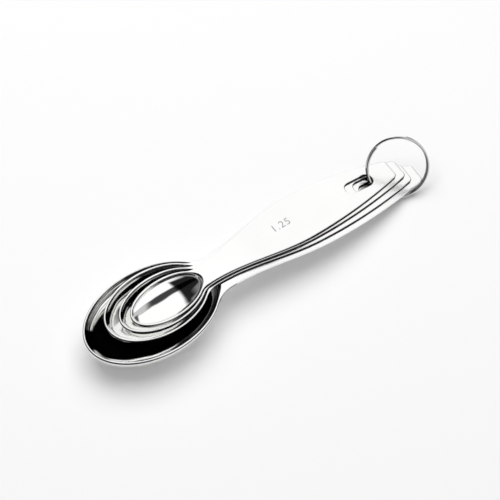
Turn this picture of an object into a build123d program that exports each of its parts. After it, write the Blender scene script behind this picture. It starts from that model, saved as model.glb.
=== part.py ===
from build123d import *
import math
import os

# A nested set of four stamped steel measuring spoons, threaded on one split ring.
# Each spoon is pressed from one sheet: an oval bowl, a narrow neck and a leaf-shaped handle
# that arches down to a blunt tip, with a long slot near the tip for the ring.
# Lengths are in millimetres, angles in degrees and volumes in cubic millimetres.
# +Z is up and +X runs from the bowls to the tips. The origin is under the middle of the whole
# set, on the surface that it stands on: the tablespoon's bowl and its tip touch that surface.

# Sheet and stack
sheet = 0.8
stack_gap = 0.25
overrun = 2.0

# Handles, measured along the spoon from the neck line, where the four bowls end together
tablespoon_handle_length = 100.7
teaspoon_tip_setback = 4.1
half_teaspoon_tip_setback = 5.7
quarter_teaspoon_tip_setback = 9.3
level_length = 6.5
straight_past_rounding = 0.6
widest_share = 0.5
tip_width = 7.8
tip_corner_radius = 1.6
tip_height_over_table = 0.0

# Slots, the same in each handle
slot_length = 12.5
slot_width = 5.4
slot_to_tip = 9.3

# Bowls: length and width over the rim, depth inside, and how far the rim passes the neck line
tablespoon_bowl_length = 57.8
tablespoon_bowl_width = 38.4
tablespoon_bowl_depth = 13.7
tablespoon_bowl_end = 5.7
teaspoon_bowl_length = 44.4
teaspoon_bowl_width = 29.0
teaspoon_bowl_depth = 7.74
teaspoon_bowl_end = 2.6
half_teaspoon_bowl_length = 37.8
half_teaspoon_bowl_width = 22.4
half_teaspoon_bowl_depth = 5.95
half_teaspoon_bowl_end = 1.5
quarter_teaspoon_bowl_length = 32.4
quarter_teaspoon_bowl_width = 17.6
quarter_teaspoon_bowl_depth = 4.45
quarter_teaspoon_bowl_end = 0.2

# Handle widths at the neck and at the widest place, and how round the corner of bowl and neck is
neck_radius_share = 0.85
tablespoon_neck_width = 16.2
tablespoon_blade_width = 23.6
teaspoon_neck_width = 13.0
teaspoon_blade_width = 22.4
half_teaspoon_neck_width = 10.8
half_teaspoon_blade_width = 21.4
quarter_teaspoon_neck_width = 8.8
quarter_teaspoon_blade_width = 20.4

# How the upper spoons lie askew in the tablespoon: sideways shift at the neck line, and turn
teaspoon_side_shift = 1.9
teaspoon_fan_angle = -0.4
half_teaspoon_side_shift = 1.45
half_teaspoon_fan_angle = 1.25
quarter_teaspoon_side_shift = 0.75
quarter_teaspoon_fan_angle = 2.3

# Split ring: spring wire in two turns, with one crossover
ring_outer_diameter = 25.0
ring_wire = 0.85
ring_turn_gap = 0.41
ring_back_from_tip = 8.4
ring_side_shift = 1.4
ring_centre_height = 10.8
ring_axis_elevation = 41.4
ring_axis_azimuth = -19.9
ring_crossover_turn = 55.0


class Spoon:
    """The sizes of one spoon. Its own frame has x along the handle from the neck line, z from the rim."""

    def __init__(self, name, layer, bowl, bowl_end, handle_length, widths, place):
        self.name = name
        self.layer = layer
        self.bowl_length, self.bowl_width, self.bowl_depth = bowl
        self.bowl_end = bowl_end
        self.handle_length = handle_length
        self.neck_width, self.blade_width = widths
        self.neck_radius = self.neck_width * neck_radius_share
        self.side_shift, self.fan_angle = place

    def bowl_centre_x(self):
        return self.bowl_end - self.bowl_length / 2

    def leaf_start(self):
        """Where the neck ends and the leaf begins: just past the rounding between bowl and neck."""
        half_neck = self.neck_width / 2
        half_length = self.bowl_length / 2
        half_width = self.bowl_width / 2
        corner = half_length * math.sqrt(1 - (half_neck / half_width) ** 2)
        turn = math.atan2(corner / half_length**2, half_neck / half_width**2)
        rounding = self.neck_radius * math.tan(turn / 2)
        return self.bowl_centre_x() + corner + rounding + straight_past_rounding


tablespoon = Spoon(
    "tablespoon",
    0,
    (tablespoon_bowl_length, tablespoon_bowl_width, tablespoon_bowl_depth),
    tablespoon_bowl_end,
    tablespoon_handle_length,
    (tablespoon_neck_width, tablespoon_blade_width),
    (0, 0),
)
teaspoon = Spoon(
    "teaspoon",
    1,
    (teaspoon_bowl_length, teaspoon_bowl_width, teaspoon_bowl_depth),
    teaspoon_bowl_end,
    tablespoon_handle_length - teaspoon_tip_setback,
    (teaspoon_neck_width, teaspoon_blade_width),
    (teaspoon_side_shift, teaspoon_fan_angle),
)
half_teaspoon = Spoon(
    "half_teaspoon",
    2,
    (half_teaspoon_bowl_length, half_teaspoon_bowl_width, half_teaspoon_bowl_depth),
    half_teaspoon_bowl_end,
    tablespoon_handle_length - half_teaspoon_tip_setback,
    (half_teaspoon_neck_width, half_teaspoon_blade_width),
    (half_teaspoon_side_shift, half_teaspoon_fan_angle),
)
quarter_teaspoon = Spoon(
    "quarter_teaspoon",
    3,
    (quarter_teaspoon_bowl_length, quarter_teaspoon_bowl_width, quarter_teaspoon_bowl_depth),
    quarter_teaspoon_bowl_end,
    tablespoon_handle_length - quarter_teaspoon_tip_setback,
    (quarter_teaspoon_neck_width, quarter_teaspoon_blade_width),
    (quarter_teaspoon_side_shift, quarter_teaspoon_fan_angle),
)
spoons = [tablespoon, teaspoon, half_teaspoon, quarter_teaspoon]

# The rim of the tablespoon stands over its own bowl, and its handle arches down to the tip.
rim_height = tablespoon_bowl_depth + sheet
arch_run = tablespoon_handle_length - level_length
arch_drop = rim_height - tip_height_over_table
arch_radius = (arch_run**2 + arch_drop**2 - sheet**2) / (2 * (arch_drop - sheet))


def leaf_outline(spoon):
    """The outline of neck and handle, as one closed face that starts in the middle of the bowl."""
    half_neck = spoon.neck_width / 2
    half_blade = spoon.blade_width / 2
    half_tip = tip_width / 2
    start = spoon.bowl_centre_x()
    end = spoon.handle_length
    first = spoon.leaf_start()
    widest = end * widest_share
    third = (widest - first) / 3
    upper = [
        Line((start, half_neck), (first, half_neck)),
        Bezier(
            (first, half_neck),
            (first + third, half_neck),
            (widest - third, half_blade),
            (widest, half_blade),
        ),
        Bezier((widest, half_blade), ((widest + end) / 2, half_blade), (end, half_tip)),
    ]
    lower = [mirror(edge, about=Plane.XZ) for edge in upper]
    closing = [Line((end, half_tip), (end, -half_tip)), Line((start, half_neck), (start, -half_neck))]
    return make_face(Curve() + upper + lower + closing)


def concave_corners(face, spoon):
    """The two corners where the neck's sides leave the bowl's rim."""
    half_neck = spoon.neck_width / 2
    inside = [v for v in face.vertices() if abs(abs(v.Y) - half_neck) < sheet / 8]
    return [v for v in inside if spoon.bowl_centre_x() < v.X < spoon.leaf_start() - straight_past_rounding]


def plan(spoon):
    """The whole blank seen from above: the oval of the rim, the neck, the handle and its slot."""
    oval = Pos(spoon.bowl_centre_x(), 0) * Ellipse(spoon.bowl_length / 2, spoon.bowl_width / 2)
    face = oval + leaf_outline(spoon)
    face = fillet(concave_corners(face.face(), spoon), spoon.neck_radius)
    tip = [v for v in face.vertices() if v.X > spoon.handle_length - sheet / 8]
    face = fillet(tip, tip_corner_radius)
    slot_x = spoon.handle_length - slot_to_tip - slot_length / 2
    return face - Pos(slot_x, 0) * SlotOverall(slot_length, slot_width)


def arch_point(radius, run):
    """A point of the handle's side view on a circle about the arch's centre, run along from its start."""
    return (level_length + run, math.sqrt(radius**2 - run**2) - arch_radius)


def side_band(spoon):
    """The side view of the sheet: level past the bowl and neck, then one long arc down to the tip."""
    start = spoon.bowl_end - spoon.bowl_length - overrun
    run = spoon.handle_length - level_length + overrun
    under = arch_radius - sheet
    edges = [
        Line((start, 0), (level_length, 0)),
        ThreePointArc((level_length, 0), arch_point(arch_radius, run / 2), arch_point(arch_radius, run)),
        Line(arch_point(arch_radius, run), arch_point(under, run)),
        ThreePointArc(arch_point(under, run), arch_point(under, run / 2), (level_length, -sheet)),
        Line((level_length, -sheet), (start, -sheet)),
        Line((start, -sheet), (start, 0)),
    ]
    face = Plane.XZ * make_face(Curve() + edges)
    return extrude(face, amount=spoon.bowl_width + spoon.blade_width, both=True)


def half_egg(length, width, depth):
    """The lower half of an ellipsoid under the rim's straight edge."""
    unit = Sphere(1, arc_size1=-90, arc_size2=0, align=(Align.CENTER, Align.CENTER, Align.MAX))
    return scale(unit, by=(length / 2, width / 2, depth))


def make_spoon(spoon):
    """One spoon in its own frame: rim and handle from the flat blank, bowl as a shell under it."""
    centre = Pos(spoon.bowl_centre_x(), 0, -sheet)
    height = rim_height + sheet
    blank = extrude(plan(spoon), amount=height, both=True) & side_band(spoon)
    outside = centre * half_egg(spoon.bowl_length, spoon.bowl_width, spoon.bowl_depth)
    length_inside = spoon.bowl_length - 2 * sheet
    width_inside = spoon.bowl_width - 2 * sheet
    inside = centre * half_egg(length_inside, width_inside, spoon.bowl_depth - sheet)
    mouth = extrude(centre * Ellipse(length_inside / 2, width_inside / 2), amount=sheet + overrun)
    return blank + outside - inside - mouth


def capacity(spoon):
    """The volume that the bowl holds, level with its rim."""
    area = math.pi * (spoon.bowl_length / 2 - sheet) * (spoon.bowl_width / 2 - sheet)
    return area * sheet + area * (spoon.bowl_depth - sheet) * 2 / 3


def seat(spoon):
    """Where a spoon's own frame lies in the nested stack."""
    height = rim_height + spoon.layer * (sheet + stack_gap)
    return Location((0, spoon.side_shift, height), (0, 0, spoon.fan_angle))


# The split ring's own frame has its axis along z and its centre at the origin.
ring_radius = (ring_outer_diameter - ring_wire) / 2
ring_pitch = ring_wire + ring_turn_gap


def on_ring(angle, side):
    """A point of the wire's middle, at an angle round the ring, on the side -1 or 1 of its plane."""
    turn = math.radians(angle)
    return Vector(ring_radius * math.cos(turn), ring_radius * math.sin(turn), side * ring_pitch / 2)


def level_turn(first, last, side):
    """Quarter arcs of wire that lie in one plane, from one angle to the other."""
    corners = [first + i * 90 for i in range(round((last - first) / 90) + 1)]
    return [
        ThreePointArc(on_ring(a, side), on_ring((a + b) / 2, side), on_ring(b, side))
        for a, b in zip(corners, corners[1:])
    ]


def crossover():
    """Two arcs that lead the wire over a quarter turn from the upper turn to the lower one."""
    start = on_ring(0, 1)
    end = on_ring(90, -1)
    start_way = Vector(0, 1, 0)
    end_way = Vector(-1, 0, 0)
    gap = end - start
    both = start_way + end_way
    a = 2 * (1 - start_way.dot(end_way))
    b = 2 * gap.dot(both)
    reach = (-b + math.sqrt(b**2 + 4 * a * gap.dot(gap))) / (2 * a)
    joint = (start + end + (start_way - end_way) * reach) / 2
    first = TangentArc(start, joint, tangent=start_way)
    second = TangentArc(joint, end, tangent=first % 1)
    return [first, second]


def wire_path():
    """Three quarters of a turn above, the crossover, and three quarters of a turn below."""
    return Wire(level_turn(-270, 0, 1) + crossover() + level_turn(90, 360, -1))


def make_ring():
    path = wire_path()
    section = Plane(origin=path @ 0, z_dir=path % 0) * Circle(ring_wire / 2)
    return sweep(section, path=path)


def ring_seat():
    """Where the ring hangs: its axis leans back, and its lower part runs under the tablespoon's tip."""
    up = math.radians(ring_axis_elevation)
    round_z = math.radians(ring_axis_azimuth)
    axis = Vector(math.sin(round_z) * math.cos(up), -math.cos(round_z) * math.cos(up), math.sin(up))
    level = Vector(math.cos(round_z), math.sin(round_z), 0)
    centre = Vector(tablespoon_handle_length - ring_back_from_tip, ring_side_shift, ring_centre_height)
    return Plane(origin=centre, x_dir=level, z_dir=axis)


def least_self_gap(path):
    """The smallest gap between two stretches of the wire that are not next to each other."""
    count = 360
    step = path.length / count
    points = [path @ (i / count) for i in range(count + 1)]
    apart = math.ceil(4 * ring_wire / step)
    pairs = ((p, q) for i, p in enumerate(points) for q in points[i + apart :])
    return min((p - q).length for p, q in pairs) - ring_wire


def main():
    made = {spoon.name: seat(spoon) * make_spoon(spoon) for spoon in spoons}
    made["split_ring"] = ring_seat() * (Rot(0, 0, ring_crossover_turn) * make_ring())
    box = Compound(children=[part.solid() for part in made.values()]).bounding_box()
    shift = Pos(-box.center().X, -box.center().Y, -box.min.Z)
    os.makedirs("parts", exist_ok=True)
    for name, part in made.items():
        solid = (shift * part).solid()
        solid.label = name
        export_step(solid, f"parts/{name}.step")
    for spoon in spoons:
        print(spoon.name, "holds", round(capacity(spoon)), "cubic mm")
    print("shift to the origin", shift.position)
    centre = shift * ring_seat().location
    print("ring centre", centre.position, "axis", ring_seat().z_dir)
    path = wire_path()
    length = path.length
    print("wire length", round(length, 2), "least gap to itself", round(least_self_gap(path), 3))
    print("wire volume", made["split_ring"].volume, "against", math.pi * ring_wire**2 / 4 * length)


main()
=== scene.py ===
import bpy
import math
import numpy as np
from collections import namedtuple
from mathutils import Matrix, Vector


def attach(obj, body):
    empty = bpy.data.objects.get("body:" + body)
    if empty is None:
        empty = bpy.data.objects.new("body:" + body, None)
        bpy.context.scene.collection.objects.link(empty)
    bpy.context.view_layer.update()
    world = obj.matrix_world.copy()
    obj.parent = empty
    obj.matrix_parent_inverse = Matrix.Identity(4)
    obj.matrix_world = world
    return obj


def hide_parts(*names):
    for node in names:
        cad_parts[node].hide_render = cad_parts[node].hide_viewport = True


# Looks of a nested set of measuring spoons on a split ring.
# Plan sizes are in millimetres in each spoon's own frame: x along the handle from the neck line,
# y across it, z up from the rim's top. Meshes are written in metres in the frame's axes.

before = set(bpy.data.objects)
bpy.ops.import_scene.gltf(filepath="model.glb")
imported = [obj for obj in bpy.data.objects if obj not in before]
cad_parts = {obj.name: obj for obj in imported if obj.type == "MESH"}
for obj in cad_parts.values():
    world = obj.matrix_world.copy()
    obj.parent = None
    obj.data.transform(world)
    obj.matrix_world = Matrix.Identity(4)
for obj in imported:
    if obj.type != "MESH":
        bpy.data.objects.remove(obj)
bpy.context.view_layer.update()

MM = 0.001
QUARTER_TURN = math.pi / 2

# Sheet, stack and handles
SHEET = 0.8
LAYER_PITCH = 1.05
RIM_HEIGHT = 14.5
NECK_LINE_X = -26.2303
HANDLE_LENGTH = 100.7
LEVEL_LENGTH = 6.5
WIDEST_SHARE = 0.5
HALF_TIP = 3.9
TIP_CORNER = 1.6
SLOT_LENGTH = 12.5
SLOT_WIDTH = 5.4
SLOT_TO_TIP = 9.3
STRAIGHT_PAST_ROUNDING = 0.6
NECK_RADIUS_SHARE = 0.85

# Roundings of the pressed and tumbled sheet. Those of the underside grow from nothing at the rim, and
# are full after the grown share of the neck.
EDGE = 0.3
UNDER_EDGE = 0.4
RIM_BEND = 0.3
NECK_UNDER_BEND = 1.0
NECK_BEND = NECK_UNDER_BEND + SHEET
GROWN_SHARE = 1 / 3

# Mesh fineness: spans along the outline and across a face, steps of a rounding, rings of a bowl
RIM_SPANS = 72
NECK_SPANS = 28
HANDLE_SPANS = 46
SLOT_SPANS = 28
TIP_SIDE_SPANS = 10
TIP_CORNER_SPANS = 5
TIP_END_SPANS = 5
ACROSS = 8
ROUND_STEPS = 4
# Steps of the top rounding next to the wall that take the wall's slot, which widens the painted gap shade
GAP_SHADE_ROUND_STEPS = 2
BEND_STEPS = 8
BOWL_RINGS = 36

# Points in one cell of the weld size fall together. A range halved this often leaves only rounding
# error, and a vector shorter than TINY isn't stretched to a unit vector.
WELD_SIZE = 0.002
HALVINGS = 60
LEAST_RIM_ANGLE = 0.02
TINY = 1e-12

# Sizes that differ from spoon to spoon, from the lowest in the stack to the top one. A bowl ends
# bowl_end past the neck line, and a tip lies tip_setback short of the first spoon's.
Sizes = namedtuple("Sizes", [
    "layer", "bowl_length", "bowl_width", "bowl_depth", "bowl_end", "tip_setback",
    "neck_width", "blade_width", "side_shift", "fan_degrees", "figure",
])
SPOONS = {
    "tablespoon": Sizes(0, 57.8, 38.4, 13.7, 5.7, 0.0, 16.2, 23.6, 0.0, 0.0, "15"),
    "teaspoon": Sizes(1, 44.4, 29.0, 7.74, 2.6, 4.1, 13.0, 22.4, 1.9, -0.4, "5"),
    "half_teaspoon": Sizes(2, 37.8, 22.4, 5.95, 1.5, 5.7, 10.8, 21.4, 1.45, 1.25, "2.5"),
    "quarter_teaspoon": Sizes(3, 32.4, 17.6, 4.45, 0.2, 9.3, 8.8, 20.4, 0.75, 2.3, "1.25"),
}

# The two faces of the sheet, as the way up that each one looks
TOP = 1
UNDERSIDE = -1

# The handle runs level at first and then bends down in one arc, to the table at its tip
ARCH_RUN = HANDLE_LENGTH - LEVEL_LENGTH
ARCH_RADIUS = (ARCH_RUN**2 + RIM_HEIGHT**2 - SHEET**2) / (2 * (RIM_HEIGHT - SHEET))


def unit(vectors):
    return vectors / np.maximum(np.linalg.norm(vectors, axis=-1, keepdims=True), TINY)


def heading(angle):
    """Flat unit vectors at the angles from x."""
    return np.stack([np.cos(angle), np.sin(angle)], -1)


def shares(spans):
    return np.linspace(0, 1, spans + 1)


def ease(share):
    """A share from 0 to 1 that starts and ends level."""
    return 3 * share**2 - 2 * share**3


def ease_slope(share):
    return 6 * share * (1 - share)


def last_before(passed, low, high):
    """The largest value from low to high for which passed is still false."""
    for _ in range(HALVINGS):
        middle = (low + high) / 2
        beyond = passed(middle)
        low = np.where(beyond, low, middle)
        high = np.where(beyond, middle, high)
    return low


def arch(x, face):
    """Height and slope of the handle's top or underside at the places x."""
    radius = ARCH_RADIUS if face == TOP else ARCH_RADIUS - SHEET
    run = np.maximum(x - LEVEL_LENGTH, 0)
    root = np.sqrt(radius**2 - run**2)
    return root - ARCH_RADIUS, -run / root


def face_normal(slope, face):
    return unit(np.column_stack([-slope * face, np.zeros_like(slope), np.full_like(slope, face)]))


class Plan:
    """One spoon's outline: half of it, from the far end of the bowl to the middle of the tip."""

    def __init__(self, sizes):
        self.sizes = sizes
        self.half_length = sizes.bowl_length / 2
        self.half_width = sizes.bowl_width / 2
        self.half_neck = sizes.neck_width / 2
        self.half_blade = sizes.blade_width / 2
        self.radius = sizes.neck_width * NECK_RADIUS_SHARE
        self.centre_x = sizes.bowl_end - self.half_length
        self.tip = HANDLE_LENGTH - sizes.tip_setback
        crossing = self.half_length * math.sqrt(1 - (self.half_neck / self.half_width) ** 2)
        turn = math.atan2(crossing / self.half_length**2, self.half_neck / self.half_width**2)
        rounding_end = self.centre_x + crossing + self.radius * math.tan(turn / 2)
        self.straight = rounding_end + STRAIGHT_PAST_ROUNDING
        self.find_neck_rounding()

    def oval(self, angle, inset=0.0):
        """Points and outward normals of the rim's oval, or of one that lies inset inside it."""
        halves = np.array([self.half_length, self.half_width]) - inset
        return halves * heading(angle) + [self.centre_x, 0], unit(heading(angle) / halves)

    def bowl(self, angle, rise, inset=0.0):
        """Points and outward normals of the bowl's outside, or of a face that lies inset inside it.
        The rise is an angle up from the bottom."""
        halves = np.array([self.half_length, self.half_width, self.sizes.bowl_depth]) - inset
        flat = heading(angle) * np.sin(rise)[:, None]
        from_centre = halves * np.column_stack([flat, -np.cos(rise)])
        return from_centre + [self.centre_x, 0, -SHEET], unit(from_centre / halves**2)

    def find_neck_rounding(self):
        """Finds the rim's angle where the neck's rounding leaves the oval."""
        def too_wide(angle):
            point, normal = self.oval(angle)
            return point[1] + normal[1] * self.radius > self.half_neck + self.radius

        self.rim_angle = last_before(too_wide, LEAST_RIM_ANGLE, QUARTER_TURN)
        point, self.round_start = self.oval(self.rim_angle)
        self.round_centre = point + self.round_start * self.radius

    def neck_edge(self, share):
        """Outline points and normals along the neck's rounding and its straight stretch."""
        first = math.atan2(-self.round_start[1], -self.round_start[0]) % (2 * math.pi)
        turn = 3 * QUARTER_TURN - first
        arc = abs(turn) * self.radius
        straight = max(self.straight - self.round_centre[0], 0.0)
        along = share * (arc + straight)
        angle = first + turn * np.minimum(along / arc, 1)
        point = self.round_centre + self.radius * heading(angle)
        point[:, 0] += np.maximum(along - arc, 0)
        return point, -heading(angle)

    def blade_edge(self, x):
        """Half width of the leaf and its slope at the places x, from the neck's end to the tip."""
        widest = self.tip * WIDEST_SHARE
        grown = np.clip((x - self.straight) / (widest - self.straight), 0, 1)
        growth = self.half_blade - self.half_neck
        growing = self.half_neck + growth * ease(grown)
        growing_slope = growth * ease_slope(grown) / (widest - self.straight)
        shrunk = np.clip((x - widest) / (self.tip - widest), 0, 1)
        loss = self.half_blade - HALF_TIP
        shrinking = self.half_blade - loss * shrunk**2
        shrinking_slope = -2 * loss * shrunk / (self.tip - widest)
        half = np.where(x < widest, growing, shrinking)
        return half, np.where(x < widest, growing_slope, shrinking_slope)

    def leaf_side(self, first, last, spans):
        """Outline points and normals along the leaf's side, from one place x to another."""
        x = first + (last - first) * shares(spans)
        half, slope = self.blade_edge(x)
        return np.column_stack([x, half]), unit(np.column_stack([-slope, np.ones_like(x)]))

    def tip_edge(self, first):
        """Outline points and normals from a place x on the side, round the corner, to the tip's middle."""
        _, slope = self.blade_edge(np.array(self.tip))
        corner_y = HALF_TIP - slope * TIP_CORNER - TIP_CORNER * math.hypot(1, slope)
        corner = np.array([self.tip - TIP_CORNER, corner_y])
        turn = math.atan2(1, -slope)
        side, side_normal = self.leaf_side(first, corner[0] + TIP_CORNER * math.cos(turn), TIP_SIDE_SPANS)
        round_normal = heading(turn * (1 - shares(TIP_CORNER_SPANS)[1:]))
        y = corner_y * (1 - shares(TIP_END_SPANS)[1:])
        end = np.column_stack([np.full_like(y, self.tip), y])
        end_normal = np.column_stack([np.ones_like(y), np.zeros_like(y)])
        points = np.concatenate([side, corner + TIP_CORNER * round_normal, end])
        return points, np.concatenate([side_normal, round_normal, end_normal])


def slot_edge(near):
    """Half of the slot's outline from its near end, and unit vectors from its middle line to it."""
    radius = SLOT_WIDTH / 2
    straight = SLOT_LENGTH - 2 * radius
    quarter = radius * QUARTER_TURN
    along = shares(SLOT_SPANS) * (2 * quarter + straight)
    near_turn = np.clip(along / radius, 0, QUARTER_TURN)
    far_turn = np.clip((along - quarter - straight) / radius, 0, QUARTER_TURN)
    out = heading(math.pi - near_turn - far_turn)
    run = np.clip(along - quarter, 0, straight)
    return out * radius + np.column_stack([near + radius + run, np.zeros_like(run)]), out


def middle_line(first, last, spans):
    x = first + (last - first) * shares(spans)
    return np.column_stack([x, np.zeros_like(x)])


class Strip:
    """Rows of points with a normal each, laid side by side over a spoon's faces and edges."""

    def __init__(self):
        self.points, self.normals = [], []
        self.wall_rows = None

    def add(self, points, normals):
        self.points.append(points)
        self.normals.append(normals)

    def spread(self, first, last, face):
        """Rows across the handle's top or underside, from one line to the other."""
        for step in range(ACROSS + 1):
            flat = first + (last - first) * step / ACROSS
            height, slope = arch(flat[:, 0], face)
            self.add(np.column_stack([flat, height]), face_normal(slope, face))

    def round_over(self, outline, outward, corner, face, step):
        """One row of a quarter rounding at the outline, from step 0 on the face to the wall."""
        turn = step / ROUND_STEPS * QUARTER_TURN
        flat = outline - outward * np.reshape(corner * (1 - math.sin(turn)), (-1, 1))
        height, _ = arch(flat[:, 0], face)
        _, slope = arch(outline[:, 0], face)
        sideways = np.column_stack([outward, np.zeros(len(outward))])
        normals = unit(sideways * math.sin(turn) + face_normal(slope, face) * math.cos(turn))
        self.add(np.column_stack([flat, height - face * corner * (1 - math.cos(turn))]), normals)

    def rounded_wall(self, outline, outward, top_corner, under_corner):
        """Rows over the sheet's cut edge: round the top corner, down the wall, round the lower corner.
        The wall and the lower corner are the strip's wall rows."""
        first = len(self.points) + ROUND_STEPS
        self.wall_rows = (first, first + ROUND_STEPS + 1)
        for step in range(ROUND_STEPS + 1):
            self.round_over(outline, outward, top_corner, TOP, step)
        for step in reversed(range(ROUND_STEPS + 1)):
            self.round_over(outline, outward, under_corner, UNDERSIDE, step)


def add_object(name, data):
    made = bpy.data.objects.new(name, data)
    bpy.context.scene.collection.objects.link(made)
    return made


# Material slots of a spoon's cut edges, after slot 0 for its polished faces. The upper corner of an
# edge gets painted shade, for the wider gaps at the tips, from a column of the strip on, which is given
# for y above 0 and for its mirror image.
BOWL_EDGE = 1
HANDLE_EDGE = 2
TIP_SHADE_CORNER = 3
NO_TIP_SHADE = {1: math.inf, -1: math.inf}


class Skin:
    """Collects faces with a normal at each corner, then welds the points that fall together."""

    def __init__(self):
        self.points, self.faces, self.corner_normals, self.slots = [], [], [], []
        self.count = 0

    def cover(self, strip, wall_slot, flip=False, tip_shade_from=NO_TIP_SHADE):
        """Adds a face between each four neighbours of the strip, and its mirror image in y. The wall rows
        and the last steps of the top rounding above them get the wall's slot, mostly the painted gap
        shade. From the column given on, the top rounding gets the painted tip shade. Flip is for a strip
        that runs the other way."""
        points, normals = np.array(strip.points), np.array(strip.normals)
        rows, columns = points.shape[:2]
        row_of = np.repeat(np.arange(rows - 1), columns - 1)
        column_of = np.tile(np.arange(columns - 1), rows - 1)
        wall_first, wall_end = strip.wall_rows
        on_wall = (row_of >= wall_first - GAP_SHADE_ROUND_STEPS) & (row_of < wall_end)
        on_corner = (row_of > wall_first - ROUND_STEPS) & (row_of < wall_first)
        index = np.arange(rows * columns).reshape(rows, columns)
        around = [index[:-1, :-1], index[:-1, 1:], index[1:, 1:], index[1:, :-1]]
        quads = np.stack(around, -1).reshape(-1, 4)
        if flip:
            quads = quads[:, ::-1]
        for side in (1, -1):
            mirror = np.array([1, side, 1])
            corners = quads if side > 0 else quads[:, ::-1]
            tip_shaded = on_corner & (column_of >= tip_shade_from[side])
            self.points.append(points.reshape(-1, 3) * mirror)
            self.faces.append(corners + self.count)
            self.corner_normals.append((normals.reshape(-1, 3) * mirror)[corners])
            self.slots.append(np.where(tip_shaded, TIP_SHADE_CORNER, np.where(on_wall, wall_slot, 0)))
            self.count += rows * columns

    def mesh(self, name, rotation, offset):
        """Makes the object, in the frame's axes. Faces that the weld leaves without width are dropped."""
        points = np.concatenate(self.points)
        faces = np.concatenate(self.faces)
        cells = np.round(points / WELD_SIZE).astype(np.int64)
        _, first, weld = np.unique(cells, axis=0, return_index=True, return_inverse=True)
        normals, slots = np.concatenate(self.corner_normals), np.concatenate(self.slots)
        kept, kept_normals, kept_slots = [], [], []
        for face, normal, slot in zip(weld.ravel()[faces], normals, slots):
            corners = [i for i in range(4) if face[i] != face[i - 1]]
            if len(corners) > 2 and len({face[i] for i in corners}) == len(corners):
                kept.append([int(face[i]) for i in corners])
                kept_normals += [normal[i] for i in corners]
                kept_slots.append(int(slot))
        data = bpy.data.meshes.new(name)
        data.from_pydata(((points[first] @ rotation.T + offset) * MM).tolist(), [], kept)
        data.update()
        data.shade_smooth()
        data.normals_split_custom_set(unit(np.array(kept_normals) @ rotation.T).tolist())
        data.polygons.foreach_set("material_index", kept_slots)
        return add_object(name, data)


def add_inside(strip, plan, angles, rim_line):
    """Adds the bowl's inside and the bend from it over into the rim or the handle. The bend's radius
    is a share of the room up to the rim line. Gives back the line where the level top starts."""
    wall, outward = plan.oval(angles, SHEET)
    room = ((rim_line - wall) * outward).sum(-1)
    bend = np.minimum(RIM_BEND / (SHEET - EDGE) * room, NECK_BEND)

    def past_bend(rise):
        place, normal = plan.bowl(angles, rise, SHEET)
        return place[:, 2] > -bend * (1 + normal[:, 2])

    last_rise = last_before(past_bend, np.zeros(len(angles)), np.full(len(angles), QUARTER_TURN))
    for ring in range(BOWL_RINGS + 1):
        place, normal = plan.bowl(angles, last_rise * ring / BOWL_RINGS, SHEET)
        strip.add(place, -normal)
    first = np.arcsin(np.clip(-normal[:, 2], 0, 1))
    top_start = place[:, :2] + outward * (bend * np.cos(first))[:, None]
    for step in range(BEND_STEPS + 1):
        turn = first + (QUARTER_TURN - first) * step / BEND_STEPS
        flat = top_start - outward * (bend * np.cos(turn))[:, None]
        height = bend * (np.sin(turn) - 1)
        lean = np.column_stack([-outward * np.cos(turn)[:, None], np.sin(turn)])
        strip.add(np.column_stack([flat, height]), lean)
    return top_start


def add_outside(strip, plan, angles, outline, normal, growth):
    """Adds the underside from its rounded corner inward, the bend down from it and the bowl's outside.
    Gives back the line where the level underside ends."""
    bend = NECK_UNDER_BEND * growth
    last_rise = np.arcsin(np.sqrt(1 - (bend / plan.sizes.bowl_depth) ** 2))
    _, outward = plan.oval(angles)
    outer, _ = plan.bowl(angles, last_rise)
    under_end = outer[:, :2] + outward * bend[:, None]
    strip.spread(outline - normal * (UNDER_EDGE * growth)[:, None], under_end, UNDERSIDE)
    for step in range(ROUND_STEPS + 1):
        turn = step / ROUND_STEPS * QUARTER_TURN
        flat = under_end - outward * (bend * math.sin(turn))[:, None]
        height = -SHEET - bend * (1 - math.cos(turn))
        lean = np.column_stack([outward * math.sin(turn), np.full(len(angles), -math.cos(turn))])
        strip.add(np.column_stack([flat, height]), lean)
    for ring in range(BOWL_RINGS + 1):
        strip.add(*plan.bowl(angles, last_rise * (1 - ring / BOWL_RINGS)))
    return under_end


def add_bowl(skin, plan):
    """Covers the bowl, its rim and the neck. Gives back the places x where the handle's middle line
    starts on the top and on the underside."""
    along_neck = shares(NECK_SPANS)[1:]
    rim_angles = math.pi + (plan.rim_angle - math.pi) * shares(RIM_SPANS)
    angles = np.concatenate([rim_angles, plan.rim_angle * (1 - along_neck)])
    rim, rim_normal = plan.oval(rim_angles)
    neck, neck_normal = plan.neck_edge(along_neck)
    outline = np.concatenate([rim, neck])
    normal = np.concatenate([rim_normal, neck_normal])
    grown = np.clip(along_neck / GROWN_SHARE, 0, 1)
    growth = ease(np.concatenate([np.zeros_like(rim_angles), grown]))

    strip = Strip()
    rim_line = outline - normal * EDGE
    top_start = add_inside(strip, plan, angles, rim_line)
    strip.spread(top_start, rim_line, TOP)
    strip.rounded_wall(outline, normal, EDGE, UNDER_EDGE * growth)
    under_end = add_outside(strip, plan, angles, outline, normal, growth)
    skin.cover(strip, BOWL_EDGE)
    return top_start[-1, 0], under_end[-1, 0]


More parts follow.
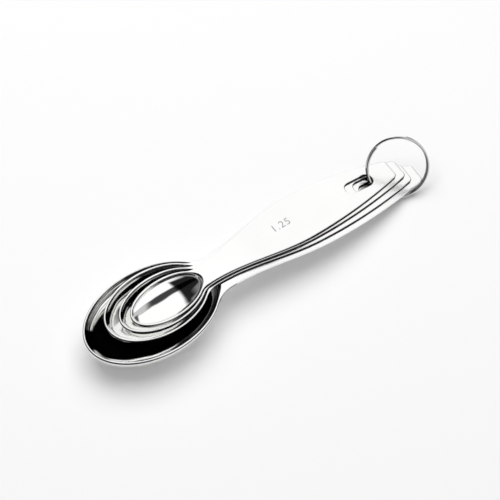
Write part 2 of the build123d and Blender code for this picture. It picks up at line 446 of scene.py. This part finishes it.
def add_handle(skin, plan, top_from, under_from):
    """Covers the leaf from the neck's end to the tip, and the wall of its slot."""
    slot_far = plan.tip - SLOT_TO_TIP
    slot_near = slot_far - SLOT_LENGTH
    slot, out = slot_edge(slot_near)
    by_slot = slot + out * EDGE
    blade, blade_normal = plan.leaf_side(plan.straight, slot_near, HANDLE_SPANS)
    beside, beside_normal = plan.leaf_side(slot_near, slot_far, SLOT_SPANS)
    tip, tip_normal = plan.tip_edge(slot_far)
    outline = np.concatenate([blade, beside[1:], tip[1:]])
    normal = np.concatenate([blade_normal, beside_normal[1:], tip_normal[1:]])
    tip_line = middle_line(slot_far + EDGE, plan.tip - EDGE, len(tip) - 1)

    def inner_line(start):
        """The line that the faces end at: along the middle, round the slot, and on to the tip."""
        before = middle_line(start, slot_near - EDGE, HANDLE_SPANS)
        return np.concatenate([before, by_slot[1:], tip_line[1:]])

    leaf = Strip()
    leaf.spread(inner_line(top_from), outline - normal * EDGE, TOP)
    leaf.rounded_wall(outline, normal, EDGE, UNDER_EDGE)
    leaf.spread(outline - normal * UNDER_EDGE, inner_line(under_from), UNDERSIDE)
    tip_from = HANDLE_SPANS + SLOT_SPANS
    # From these columns on, the top corner of the tip's edge gets the painted tip shade
    skin.cover(leaf, HANDLE_EDGE, tip_shade_from={1: tip_from, -1: tip_from + TIP_SIDE_SPANS})
    slot_wall = Strip()
    slot_wall.rounded_wall(slot, -out, EDGE, EDGE)
    skin.cover(slot_wall, HANDLE_EDGE, flip=True)


def stacked(sizes):
    """The turn and the shift that take a spoon's own frame to its place in the stack."""
    fan = math.radians(sizes.fan_degrees)
    turn = np.array([[math.cos(fan), -math.sin(fan), 0], [math.sin(fan), math.cos(fan), 0], [0, 0, 1]])
    return turn, np.array([NECK_LINE_X, sizes.side_shift, RIM_HEIGHT + sizes.layer * LAYER_PITCH])


def spoon_mesh(name, sizes):
    plan = Plan(sizes)
    skin = Skin()
    add_handle(skin, plan, *add_bowl(skin, plan))
    return skin.mesh(name, *stacked(sizes))


spoons = {name: spoon_mesh("polished_" + name, sizes) for name, sizes in SPOONS.items()}
for name, piece in spoons.items():
    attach(piece, name)
    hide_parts(name)


# Capacity in millilitres, a plain number etched into each handle's top
FIGURE_X = 38.7
FIGURE_Y = 0.6
FIGURE_SIZE = 4.4
FIGURE_SPACING = 1.15
FIGURE_PROUD = 0.012


def etched_figure(name, sizes):
    """The number as flat letter shapes, laid on the arch of the handle's top."""
    lettering = bpy.data.curves.new(name, "FONT")
    lettering.body = sizes.figure
    lettering.size = FIGURE_SIZE
    lettering.space_character = FIGURE_SPACING
    lettering.align_x = "CENTER"
    lettering.align_y = "CENTER"
    holder = add_object(name, lettering)
    data = bpy.data.meshes.new_from_object(holder)
    bpy.data.objects.remove(holder)
    flat = np.array([v.co for v in data.vertices])[:, :2] + [FIGURE_X, FIGURE_Y]
    height, _ = arch(flat[:, 0], TOP)
    rotation, offset = stacked(sizes)
    placed = np.column_stack([flat, height + FIGURE_PROUD]) @ rotation.T + offset
    data.vertices.foreach_set("co", (placed * MM).ravel())
    data.name = name
    return add_object(name, data)


figures = {name: etched_figure("figure_" + name, sizes) for name, sizes in SPOONS.items()}
for name, piece in figures.items():
    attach(piece, name)


# Split ring: spring wire in two turns that nearly touch, with one crossover where only one wire runs.
# Angles are in degrees.
RING_CENTRE = np.array([66.0697, 1.4, 10.8])
RING_ELEVATION = 41.4
RING_AZIMUTH = -19.9
RING_RADIUS = 11.97
WIRE = 1.05
WIRE_PITCH = 1.26
CROSSOVER_FROM = 64
CROSSOVER_TO = 124
FULL_TURN = 360
STEPS_ROUND = 220
STEPS_IN_SECTION = 20


def direction(azimuth, elevation):
    """The unit vector at an azimuth from the front and an elevation, both in degrees."""
    azimuth = math.radians(azimuth)
    elevation = math.radians(elevation)
    flat = math.cos(elevation)
    return np.array([math.sin(azimuth) * flat, -math.cos(azimuth) * flat, math.sin(elevation)])


def wire_middle(axis):
    """The middle of the wire: one turn, the crossover, and one turn more. Gives outward vectors too."""
    azimuth = math.radians(RING_AZIMUTH)
    level = np.array([math.cos(azimuth), math.sin(azimuth), 0])
    upright = np.cross(axis, level)
    last = CROSSOVER_TO - 2 * FULL_TURN
    angle = CROSSOVER_FROM + (last - CROSSOVER_FROM) * shares(STEPS_ROUND)
    crossed = (CROSSOVER_TO - FULL_TURN - angle) / (CROSSOVER_TO - CROSSOVER_FROM)
    height = WIRE_PITCH * (ease(np.clip(crossed, 0, 1)) - 0.5)
    out = heading(np.radians(angle)) @ np.array([level, upright])
    return RING_CENTRE + out * RING_RADIUS + axis * height[:, None], out


def ring_mesh(name):
    axis = direction(RING_AZIMUTH, RING_ELEVATION)
    middle, out = wire_middle(axis)
    section = heading(np.linspace(0, 2 * math.pi, STEPS_IN_SECTION, endpoint=False))
    normals = out[:, None] * section[:, :1] + axis * section[:, 1:]
    points = middle[:, None] + normals * WIRE / 2
    around = STEPS_IN_SECTION
    last_ring = STEPS_ROUND * around
    faces = [
        [ring + i, ring + (i + 1) % around, ring + around + (i + 1) % around, ring + around + i]
        for ring in range(0, last_ring, around)
        for i in range(around)
    ]
    faces += [list(range(around))[::-1], list(range(last_ring, last_ring + around))]
    data = bpy.data.meshes.new(name)
    data.from_pydata((points.reshape(-1, 3) * MM).tolist(), [], faces)
    data.update()
    data.shade_smooth()
    for cap in data.polygons[-2:]:
        cap.use_smooth = False
    return add_object(name, data)


ring = ring_mesh("wound_ring")
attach(ring, "split_ring")
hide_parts("split_ring")


class Shading:
    """Adds nodes to one node tree and gives back their outputs."""

    def __init__(self, tree):
        self.tree = tree

    def feed(self, socket, value):
        """Links another node's output to a socket, or sets the socket to a plain value."""
        if isinstance(value, bpy.types.NodeSocket):
            self.tree.links.new(value, socket)
        else:
            socket.default_value = value

    def node(self, output, kind, **values):
        """An output of a new node. A value is for its socket of that name, or else for its setting."""
        made = self.tree.nodes.new(kind)
        for key, value in values.items():
            socket = made.inputs.get(key.replace("_", " "))
            if socket is None:
                setattr(made, key, value)
            else:
                self.feed(socket, value)
        return made.outputs[output]

    def parts(self, vector):
        made = self.tree.nodes.new("ShaderNodeSeparateXYZ")
        self.feed(made.inputs["Vector"], vector)
        return made.outputs

    def combine(self, operation, a, b):
        made = self.tree.nodes.new("ShaderNodeMath")
        made.operation = operation
        self.feed(made.inputs[0], a)
        self.feed(made.inputs[1], b)
        return made.outputs[0]

    def mix(self, data_type, factor, a, b):
        made = self.tree.nodes.new("ShaderNodeMix")
        made.data_type = data_type
        self.feed(made.inputs["Factor"], factor)
        self.feed(made.inputs["A"], a)
        self.feed(made.inputs["B"], b)
        return made.outputs["Result"]

    def scale(self, value, levels):
        """A value from 0 to 1 as one between two levels."""
        return self.node("Result", "ShaderNodeMapRange", Value=value, To_Min=levels[0], To_Max=levels[1])

    def ramp(self, value, between, levels):
        """One level below the first bound and the other past the second, with a smooth change."""
        return self.node(
            "Result", "ShaderNodeMapRange", interpolation_type="SMOOTHSTEP", Value=value,
            From_Min=between[0], From_Max=between[1], To_Min=levels[0], To_Max=levels[1],
        )

    def seen_rays(self):
        """1 for rays from the camera and for rays that metal or glass sends on, 0 for diffuse light."""
        path = self.tree.nodes.new("ShaderNodeLightPath").outputs
        either = self.combine("MAXIMUM", path["Is Camera Ray"], path["Is Glossy Ray"])
        return self.combine("MAXIMUM", either, path["Is Transmission Ray"])


def new_material(name):
    """A material, its nodes and the inputs of its shader."""
    material = bpy.data.materials.new(name)
    material.use_nodes = True
    tree = material.node_tree
    return material, Shading(tree), tree.nodes["Principled BSDF"].inputs


# Steel has slow waves left by the press, and fine marks drawn out along the handles by polishing.
# Noise scales are per metre, and heights and places in metres. Past the necks the steel turns more
# satin between two places x, in the frame's axes.
WAVE_SCALE = 90.0
WAVE_DETAIL = 1.5
WAVE_HEIGHT = 0.0005
MARK_SCALE = 2600.0
MARK_DETAIL = 3.0
MARK_HEIGHT = 0.00002
MARK_STRETCH = (0.12, 1.0, 1.0)
DULL_SHARE = 0.96
ROUGHNESS_SHARES = (0.7, 1.5)
SATIN_BETWEEN = (-0.024, 0.0)


def steel(name, colour, roughness, satin, wave, scratch):
    """Metal of this colour and roughness. Satin is added to the roughness past the necks, and wave and
    scratch are the strengths of the slow waves and the fine marks."""
    material, shading, shader = new_material(name)
    place = shading.node("Object", "ShaderNodeTexCoord")
    slow = shading.node("Fac", "ShaderNodeTexNoise", Vector=place, Scale=WAVE_SCALE, Detail=WAVE_DETAIL)
    drawn = shading.node("Vector", "ShaderNodeMapping", Vector=place, Scale=MARK_STRETCH)
    fine = shading.node("Fac", "ShaderNodeTexNoise", Vector=drawn, Scale=MARK_SCALE, Detail=MARK_DETAIL)
    dull = [part * DULL_SHARE for part in colour]
    gloss = shading.scale(fine, [roughness * share for share in ROUGHNESS_SHARES])
    brushed = shading.ramp(shading.parts(place)["X"], SATIN_BETWEEN, (0.0, satin))
    waves = shading.node("Normal", "ShaderNodeBump", Strength=wave, Distance=WAVE_HEIGHT, Height=slow)
    marks = shading.node(
        "Normal", "ShaderNodeBump", Strength=scratch, Distance=MARK_HEIGHT, Height=fine, Normal=waves,
    )
    shading.feed(shader["Metallic"], 1.0)
    shading.feed(shader["Base Color"], shading.mix("RGBA", slow, (*dull, 1), (*colour, 1)))
    shading.feed(shader["Roughness"], shading.combine("ADD", gloss, brushed))
    shading.feed(shader["Normal"], marks)
    return material


polished = steel(
    "polished_steel", colour=(0.95, 0.95, 0.94), roughness=0.05, satin=0.14, wave=0.45, scratch=0.12,
)
# Near-black paint of the shade in the gaps between the stacked spoons, laid on the cut edges
gap_shade_steel = steel(
    "painted_gap_shade", colour=(0.03, 0.03, 0.03), roughness=0.35, satin=0.0, wave=0.1, scratch=0.4,
)
# Dark grey paint of the wider gap shade at the tips, laid on the top corners of their edges
tip_shade_steel = steel(
    "painted_tip_shade", colour=(0.12, 0.12, 0.12), roughness=0.3, satin=0.0, wave=0.1, scratch=0.4,
)
etched = steel(
    "etched_steel", colour=(0.62, 0.62, 0.62), roughness=0.5, satin=0.0, wave=0.1, scratch=0.5,
)
wire_steel = steel(
    "ring_wire", colour=(0.6, 0.6, 0.59), roughness=0.12, satin=0.0, wave=0.1, scratch=0.3,
)

# The lowest handle has no dark gap below its edge, which shines like its faces. The edges of the other
# handles and every bowl's rim wall get the painted gap shade. The CAD nodes that the pieces replace
# get the same steel.
for name, piece in spoons.items():
    handle_edge = polished if SPOONS[name].layer == 0 else gap_shade_steel
    for material in (polished, gap_shade_steel, handle_edge, tip_shade_steel):
        piece.data.materials.append(material)
for piece in figures.values():
    piece.data.materials.clear()
    piece.data.materials.append(etched)
ring.data.materials.append(wire_steel)
for key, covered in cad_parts.items():
    covered.data.materials.clear()
    covered.data.materials.append(wire_steel if key == "split_ring" else polished)


# Floor and backdrop in one pale sheet, which glows a little for the camera and in the metal
FLOOR_REACH = 3.0
FLOOR_COLOUR = (0.9, 0.9, 0.9, 1)
FLOOR_ROUGHNESS = 0.9
FLOOR_GLOW = 0.07
WHITE = (1, 1, 1, 1)


def pale_floor():
    data = bpy.data.meshes.new("floor")
    corners = [(-1, -1), (1, -1), (1, 1), (-1, 1)]
    data.from_pydata([(x * FLOOR_REACH, y * FLOOR_REACH, 0) for x, y in corners], [], [[0, 1, 2, 3]])
    material, shading, shader = new_material("pale_floor")
    shading.feed(shader["Base Color"], FLOOR_COLOUR)
    shading.feed(shader["Roughness"], FLOOR_ROUGHNESS)
    shading.feed(shader["Specular IOR Level"], 0.0)
    shading.feed(shader["Emission Color"], WHITE)
    glow = shading.combine("MULTIPLY", shading.seen_rays(), FLOOR_GLOW)
    shading.feed(shader["Emission Strength"], glow)
    data.materials.append(material)
    return add_object("floor", data)


floor = pale_floor()


# Softboxes, which point at the object: place and side in metres, and power in watts
SOFTBOXES = {
    "key": ((0.2, 0.42, 1.3), 1.35, 16.2),
    "top": ((-0.1, 0.0, 1.3), 1.5, 3.0),
}


def facing(way):
    """The rotation of a lamp or a camera that looks along a vector."""
    return way.to_track_quat("-Z", "Y").to_euler()


for name, (place, side, power) in SOFTBOXES.items():
    lamp = bpy.data.lights.new(name, "AREA")
    lamp.shape = "RECTANGLE"
    lamp.size = side
    lamp.size_y = side
    lamp.energy = power
    softbox = add_object(name, lamp)
    softbox.location = place
    softbox.rotation_euler = facing(-Vector(place))
    softbox.visible_glossy = False


# Studio round the object, as the metal shows it. A bound is a part of the unit vector that a ray
# leaves along: X the way of the tips, Y away from the camera, Z up. A light changes over between two
# bounds, from the first of its levels to the second.
UP_FROM_NONE = (0.0, 1.0)
DOWN_TO_NONE = (1.0, 0.0)
# Wide white screens on the side of the tips, and a dark room beyond the bowls
SCREENS_X = (0.02, 0.11)
SCREENS_LEVELS = (0.015, 1.08)
# Dark gap between the screens, either way from the middle, with more light toward the tips
GAP_REACH_Y = (0.12, 0.22)
GAP_X = (0.4, 0.6)
GAP_LEVELS = (0.05, 0.55)
# Dark stand low behind the tips
STAND_MIDDLE_Y = 0.33
STAND_REACH_Y = (0.12, 0.3)
STAND_X = (0.77, 0.84)
STAND_LEVELS = (1.0, 0.1)
# White wall on the camera's side
NEAR_SIDE_X = (-0.7, 0.05)
NEAR_SIDE_Y = (-0.85, -0.6)
# Faint light behind the bowls, and another low over them
FAR_SIDE_X = (-0.35, -0.05)
FAR_SIDE_Y = (0.42, 0.62)
FAR_SIDE_LEVELS = (0.0, 0.2)
LOW_ROOM_X = (-0.02, 0.02)
LOW_ROOM_Z = (0.2, 0.62)
LOW_ROOM_LEVELS = (0.28, 0.0)
# White horizon, weaker beyond the bowls
HORIZON_X = (-0.5, 0.1)
HORIZON_Z = (0.02, 0.1)
HORIZON_LEVELS = (0.25, 1.0)
# What the camera sees behind the object, and what lights the floor
BACKDROP_LEVEL = 1.0
DIFFUSE_LEVEL = 0.25


def studio_light(shading):
    """How bright the studio is for a ray that metal sends on."""
    ramp, combine = shading.ramp, shading.combine
    way = shading.parts(shading.node("Generated", "ShaderNodeTexCoord"))
    x, y, z = way["X"], way["Y"], way["Z"]
    from_middle = combine("ABSOLUTE", y, 0.0)
    beside_gap = ramp(from_middle, GAP_REACH_Y, UP_FROM_NONE)
    gap = combine("MAXIMUM", ramp(x, GAP_X, GAP_LEVELS), beside_gap)
    from_stand = combine("ABSOLUTE", combine("SUBTRACT", y, STAND_MIDDLE_Y), 0.0)
    beside_stand = ramp(from_stand, STAND_REACH_Y, UP_FROM_NONE)
    stand = combine("MAXIMUM", beside_stand, ramp(x, STAND_X, STAND_LEVELS))
    screens = combine("MULTIPLY", ramp(x, SCREENS_X, SCREENS_LEVELS), gap)
    lights = [
        (ramp(z, HORIZON_Z, DOWN_TO_NONE), ramp(x, HORIZON_X, HORIZON_LEVELS)),
        (ramp(y, NEAR_SIDE_Y, DOWN_TO_NONE), ramp(x, NEAR_SIDE_X, UP_FROM_NONE)),
        (ramp(y, FAR_SIDE_Y, FAR_SIDE_LEVELS), ramp(x, FAR_SIDE_X, DOWN_TO_NONE)),
        (ramp(z, LOW_ROOM_Z, LOW_ROOM_LEVELS), ramp(x, LOW_ROOM_X, DOWN_TO_NONE)),
    ]
    shown = combine("MULTIPLY", screens, stand)
    for level, share in lights:
        shown = combine("MAXIMUM", shown, combine("MULTIPLY", level, share))
    return shown


world = bpy.data.worlds.new("studio")
world.use_nodes = True
shading = Shading(world.node_tree)
from_camera = shading.node("Is Camera Ray", "ShaderNodeLightPath")
behind = shading.mix("FLOAT", from_camera, studio_light(shading), BACKDROP_LEVEL)
background = world.node_tree.nodes["Background"].inputs
shading.feed(background["Color"], WHITE)
shading.feed(background["Strength"], shading.mix("FLOAT", shading.seen_rays(), DIFFUSE_LEVEL, behind))
bpy.context.scene.world = world

# Camera at the photograph's angle, in degrees and metres, with a long lens in millimetres
CAMERA_AZIMUTH = -34.4
CAMERA_ELEVATION = 60.0
AIM = Vector((0.0001, 0.0058, 0.005))
LENS = 600.0
SENSOR = 36.0
PHOTO_PIXELS = 500
PIXELS_PER_MM = 2.6
view_width = PHOTO_PIXELS / PIXELS_PER_MM * MM
camera_data = bpy.data.cameras.new("camera")
camera_data.lens = LENS
camera_data.sensor_width = SENSOR
camera = add_object("camera", camera_data)
back = Vector(direction(CAMERA_AZIMUTH, CAMERA_ELEVATION))
camera.location = AIM + back * (view_width * LENS / SENSOR)
camera.rotation_euler = facing(-back)
bpy.context.scene.camera = camera
bpy.context.scene.view_settings.view_transform = "Standard"
